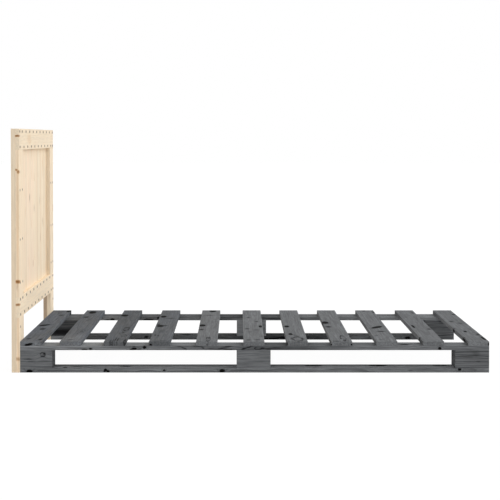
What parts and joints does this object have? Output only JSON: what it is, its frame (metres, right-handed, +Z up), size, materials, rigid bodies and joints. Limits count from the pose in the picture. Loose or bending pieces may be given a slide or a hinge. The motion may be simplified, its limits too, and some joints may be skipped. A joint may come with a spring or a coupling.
{
  "type": "bed frame",
  "caption": "Low single bed base built like a pallet, with cross slats, flat side rails, blocks and runners, and a boarded headboard at the head end.",
  "frame": {"origin": "on the floor, under the middle of the whole bed with its headboard", "axes": "+X from the head to the foot, +Y to the sleeper's left, +Z up"},
  "size_m": [2.036, 0.9, 1.04],
  "materials": {
    "grey_pine": "pine with a matt, see-through grey stain, dark knots and fine grain",
    "natural_pine": "planed pine without stain or lacquer",
    "black_screw_steel": "black phosphated wood screws, matt",
    "zinc_plated_steel": "bright zinc plated"
  },
  "bodies": {
    "root": {"slat_01": "grey_pine", "slat_02": "grey_pine", "slat_03": "grey_pine", "slat_04": "grey_pine", "slat_05": "grey_pine", "slat_06": "grey_pine", "slat_07": "grey_pine", "slat_08": "grey_pine", "slat_09": "grey_pine", "slat_10": "grey_pine", "slat_11": "grey_pine", "right_top_rail": "grey_pine", "right_bottom_rail": "grey_pine", "left_top_rail": "grey_pine", "left_bottom_rail": "grey_pine", "right_head_block": "grey_pine", "right_middle_block": "grey_pine", "right_foot_block": "grey_pine", "left_head_block": "grey_pine", "left_middle_block": "grey_pine", "left_foot_block": "grey_pine", "headboard_top_rail": "natural_pine", "headboard_bottom_rail": "natural_pine", "headboard_right_stile": "natural_pine", "headboard_right_leg": "natural_pine", "headboard_right_post": "natural_pine", "headboard_left_stile": "natural_pine", "headboard_left_leg": "natural_pine", "headboard_left_post": "natural_pine", "panel_board_1": "natural_pine", "panel_board_2": "natural_pine", "panel_board_3": "natural_pine", "panel_board_4": "natural_pine", "panel_board_5": "natural_pine", "panel_board_6": "natural_pine", "panel_board_7": "natural_pine", "panel_board_8": "natural_pine", "slat_screws": "black_screw_steel", "long_block_screws": "black_screw_steel", "top_rail_screws": "black_screw_steel", "bottom_rail_screws": "black_screw_steel", "headboard_rail_screws": "black_screw_steel", "headboard_stile_screws": "black_screw_steel", "headboard_leg_screws": "black_screw_steel", "coach_screws": "zinc_plated_steel", "coach_screw_washers": "zinc_plated_steel"}
  },
  "joints": []
}
